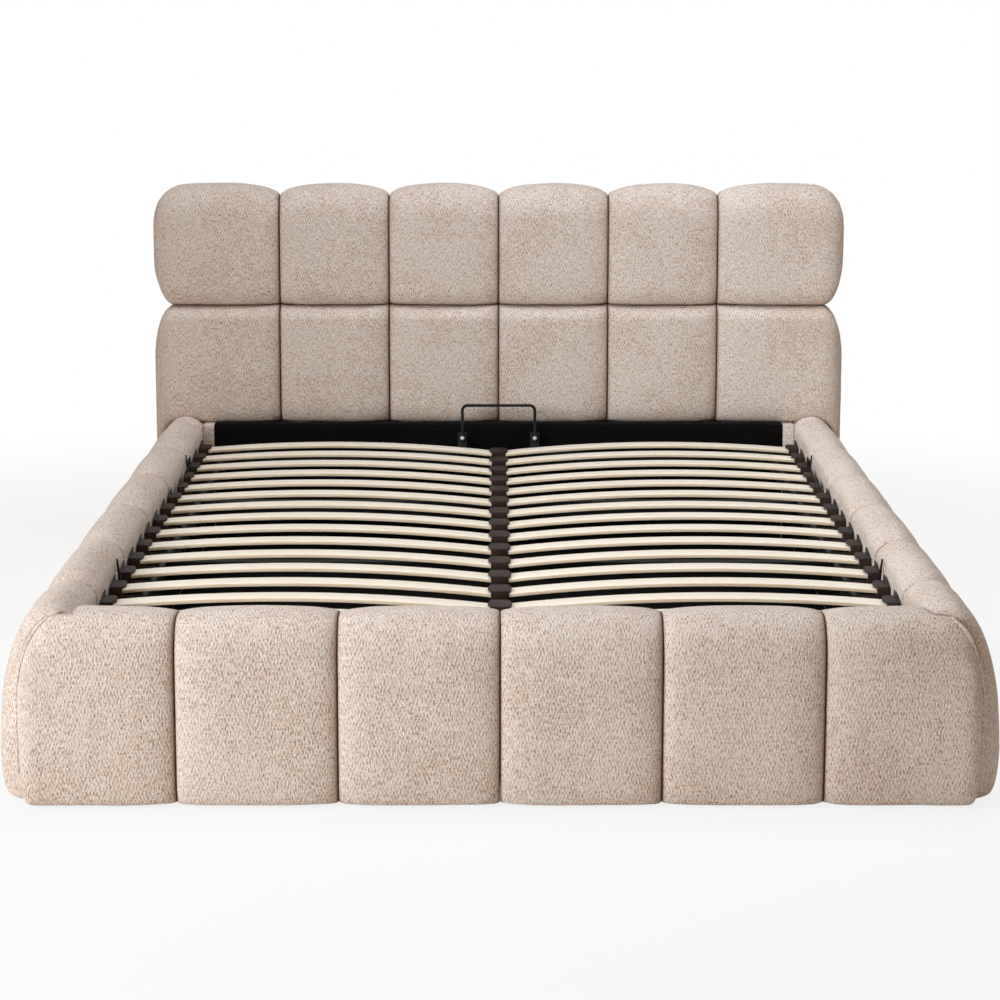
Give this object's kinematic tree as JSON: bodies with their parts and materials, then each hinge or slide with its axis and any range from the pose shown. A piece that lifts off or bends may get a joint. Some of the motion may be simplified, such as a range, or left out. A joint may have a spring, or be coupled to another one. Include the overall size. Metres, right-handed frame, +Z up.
{
  "type": "upholstered ottoman bed",
  "caption": "Upholstered bed with tufted headboard and padded rails, its slatted steel platform hinged at the head end to lift over a storage box",
  "frame": {"origin": "on the floor, under the middle of the bed's outline", "axes": "+X across the bed to the right as seen from the footboard, +Y from the footboard to the headboard, +Z up"},
  "size_m": [1.926, 2.3745, 1.0096],
  "materials": {
    "upholstery_fabric": "matte",
    "chipboard": "matte",
    "dust_cloth": "matte",
    "cloth_wrapped_board": "matte",
    "covered_timber": "matte",
    "covered_panel": "matte",
    "lined_hardboard": "matte",
    "softwood": "matte",
    "birch_slat": "satin",
    "black_plastic": "satin",
    "black_steel": "satin",
    "zinc_steel": "satin",
    "chromed_rod": "polished"
  },
  "bodies": {
    "base": {"headboard_pad_upper_1": "upholstery_fabric", "headboard_pad_upper_2": "upholstery_fabric", "headboard_pad_upper_3": "upholstery_fabric", "headboard_pad_upper_4": "upholstery_fabric", "headboard_pad_upper_5": "upholstery_fabric", "headboard_pad_upper_6": "upholstery_fabric", "headboard_pad_lower_1": "upholstery_fabric", "headboard_pad_lower_2": "upholstery_fabric", "headboard_pad_lower_3": "upholstery_fabric", "headboard_pad_lower_4": "upholstery_fabric", "headboard_pad_lower_5": "upholstery_fabric", "headboard_pad_lower_6": "upholstery_fabric", "footboard_pad_1": "upholstery_fabric", "footboard_pad_2": "upholstery_fabric", "footboard_pad_3": "upholstery_fabric", "footboard_pad_4": "upholstery_fabric", "footboard_pad_5": "upholstery_fabric", "footboard_pad_6": "upholstery_fabric", "side_pad_left_1": "upholstery_fabric", "side_pad_left_2": "upholstery_fabric", "side_pad_left_3": "upholstery_fabric", "side_pad_left_4": "upholstery_fabric", "side_pad_left_5": "upholstery_fabric", "side_pad_left_6": "upholstery_fabric", "side_pad_right_1": "upholstery_fabric", "side_pad_right_2": "upholstery_fabric", "side_pad_right_3": "upholstery_fabric", "side_pad_right_4": "upholstery_fabric", "side_pad_right_5": "upholstery_fabric", "side_pad_right_6": "upholstery_fabric", "headboard_panel": "chipboard", "headboard_back_cloth": "dust_cloth", "footboard_panel": "covered_panel", "side_rail_panel_left": "covered_panel", "side_rail_panel_right": "covered_panel", "head_end_board": "cloth_wrapped_board", "head_corner_posts": "covered_timber", "storage_floor": "lined_hardboard", "floor_bearers": "softwood", "glide_feet": "black_plastic", "hinge_plates": "black_steel", "hinge_pins": "zinc_steel", "frame_bolts": "zinc_steel", "platform_rests": "black_steel"},
    "platform": {"platform_side_tubes": "black_steel", "platform_cross_tubes": "black_steel", "platform_centre_tube": "black_steel", "slats_left": "birch_slat", "slats_right": "birch_slat", "slat_caps": "black_plastic", "centre_slat_holders": "black_plastic", "mattress_retainer": "black_steel", "retainer_screws": "zinc_steel", "mattress_side_stops": "black_steel", "lift_arm_left": "black_steel", "lift_arm_right": "black_steel"},
    "strut_cylinder_left": {"strut_tube_left": "black_steel"},
    "strut_cylinder_right": {"strut_tube_right": "black_steel"},
    "strut_piston_left": {"strut_rod_left": "chromed_rod"},
    "strut_piston_right": {"strut_rod_right": "chromed_rod"}
  },
  "joints": [
    {"name": "platform_lift", "type": "hinge", "parent": "base", "child": "platform", "pos_m": [0, 0.68715, 0.304], "axis": [-1, 0, 0], "range_deg": [0, 40]},
    {"name": "strut_swing_left", "type": "hinge", "parent": "base", "child": "strut_cylinder_left", "pos_m": [-0.782, 0.52817, 0.04959], "axis": [-1, 0, 0], "range_deg": [0, 20]},
    {"name": "strut_extend_left", "type": "slide", "parent": "strut_cylinder_left", "child": "strut_piston_left", "axis": [0, -0.5446, 0.8387], "range_m": [0, 0.1708]},
    {"name": "strut_swing_right", "type": "hinge", "parent": "base", "child": "strut_cylinder_right", "pos_m": [0.782, 0.52817, 0.04959], "axis": [-1, 0, 0], "range_deg": [0, 20]},
    {"name": "strut_extend_right", "type": "slide", "parent": "strut_cylinder_right", "child": "strut_piston_right", "axis": [0, -0.5446, 0.8387], "range_m": [0, 0.1708]}
  ],
  "couplings": [
    {"joint": "strut_swing_left", "follows": "platform_lift", "ratio": 0.5},
    {"joint": "strut_extend_left", "follows": "platform_lift", "m_per_rad": 0.2445},
    {"joint": "strut_swing_right", "follows": "platform_lift", "ratio": 0.5},
    {"joint": "strut_extend_right", "follows": "platform_lift", "m_per_rad": 0.2445}
  ]
}
